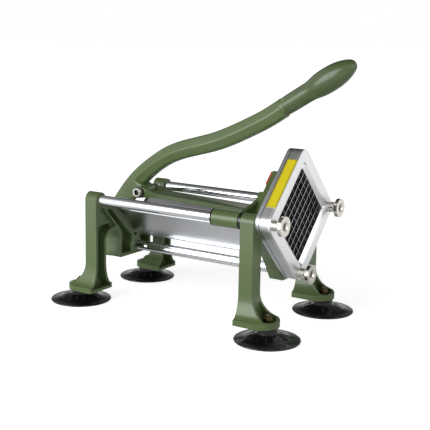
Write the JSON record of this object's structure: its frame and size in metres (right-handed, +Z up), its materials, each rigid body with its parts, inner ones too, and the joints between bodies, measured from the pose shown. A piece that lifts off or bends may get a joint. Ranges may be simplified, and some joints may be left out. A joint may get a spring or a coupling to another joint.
{
  "type": "french fry cutter",
  "caption": "Bench french fry cutter: lever and link push a block of fingers along a vee trough and through a square grid of blades, on legs with suction cups.",
  "frame": {"origin": "middle of the bounding box in X and Y, on the plane of the suction cups' rims", "axes": "+X forward from the lever's pivot to the blade frame, +Y to the far guide rod, +Z up"},
  "size_m": [0.3682, 0.213, 0.3088],
  "materials": {
    "green_paint": "satin olive green paint on castings",
    "polished_rod": "polished chromed rod",
    "trough_sheet": "bright stainless sheet",
    "frame_metal": "fine machined face",
    "blade_steel": "ground stainless strip",
    "nut_nickel": "nickel plated, fine turned",
    "screw_steel": "plain plated steel",
    "black_rubber": "glossy moulded rubber",
    "black_plastic": "black moulded plastic",
    "bronze_bush": "plain bearing bronze",
    "yellow_label": "plain yellow printed foil, bare",
    "red_badge": "plain red plate, bare"
  },
  "bodies": {
    "frame": {"rear_casting": "green_paint", "front_casting": "green_paint", "guide_rod_near": "polished_rod", "guide_rod_far": "polished_rod", "lower_rod": "polished_rod", "rod_screws": "screw_steel", "trough": "trough_sheet", "blade_frame_back": "frame_metal", "blade_frame_front": "frame_metal", "blades_rising": "blade_steel", "blades_falling": "blade_steel", "frame_screws": "screw_steel", "label_strip": "yellow_label", "stop_bumpers": "black_rubber", "pivot_bolt": "screw_steel", "pivot_washers": "screw_steel", "pivot_nut": "screw_steel", "cup_rear_near": "black_rubber", "cup_rear_far": "black_rubber", "cup_front_near": "black_rubber", "cup_front_far": "black_rubber", "cup_studs": "screw_steel", "cup_washers": "screw_steel", "cup_nuts": "screw_steel"},
    "lever": {"lever": "green_paint", "lever_bush": "bronze_bush", "link_bush": "bronze_bush"},
    "link": {"link": "green_paint", "link_bolt": "screw_steel", "link_washers": "black_rubber", "link_nut": "screw_steel"},
    "carriage": {"carriage": "green_paint", "rear_bushes": "black_plastic", "front_bushes": "black_plastic", "pusher_block": "black_plastic", "pusher_screws": "screw_steel", "badge_plate": "red_badge", "push_pin_bolt": "screw_steel"},
    "hand_nut_near": {"thumb_nut_near": "nut_nickel"},
    "hand_nut_far": {"thumb_nut_far": "nut_nickel"},
    "hand_nut_bottom": {"thumb_nut_bottom": "nut_nickel"}
  },
  "joints": [
    {"name": "lever_swing", "type": "hinge", "parent": "frame", "child": "lever", "pos_m": [-0.16558, 0, 0.061], "axis": [0, -1, 0], "range_deg": [0, 85.18]},
    {"name": "carriage_slide", "type": "slide", "parent": "frame", "child": "carriage", "axis": [-1, 0, 0], "range_m": [0, 0.138]},
    {"name": "link_swing", "type": "hinge", "parent": "lever", "child": "link", "pos_m": [-0.09558, 0, 0.135], "axis": [0, -1, 0], "range_deg": [-85.86, 0]},
    {"name": "hand_nut_near_turn", "type": "hinge", "parent": "frame", "child": "hand_nut_near", "pos_m": [0.13342, -0.069, 0.1304], "axis": [1, 0, 0], "continuous": true},
    {"name": "hand_nut_far_turn", "type": "hinge", "parent": "frame", "child": "hand_nut_far", "pos_m": [0.13342, 0.069, 0.1304], "axis": [1, 0, 0], "continuous": true},
    {"name": "hand_nut_bottom_turn", "type": "hinge", "parent": "frame", "child": "hand_nut_bottom", "pos_m": [0.13342, 0, 0.063], "axis": [1, 0, 0], "continuous": true}
  ],
  "couplings": [
    {"joint": "carriage_slide", "follows": "lever_swing", "m_per_rad": 0.092823},
    {"joint": "link_swing", "follows": "lever_swing", "ratio": -1.0079}
  ]
}
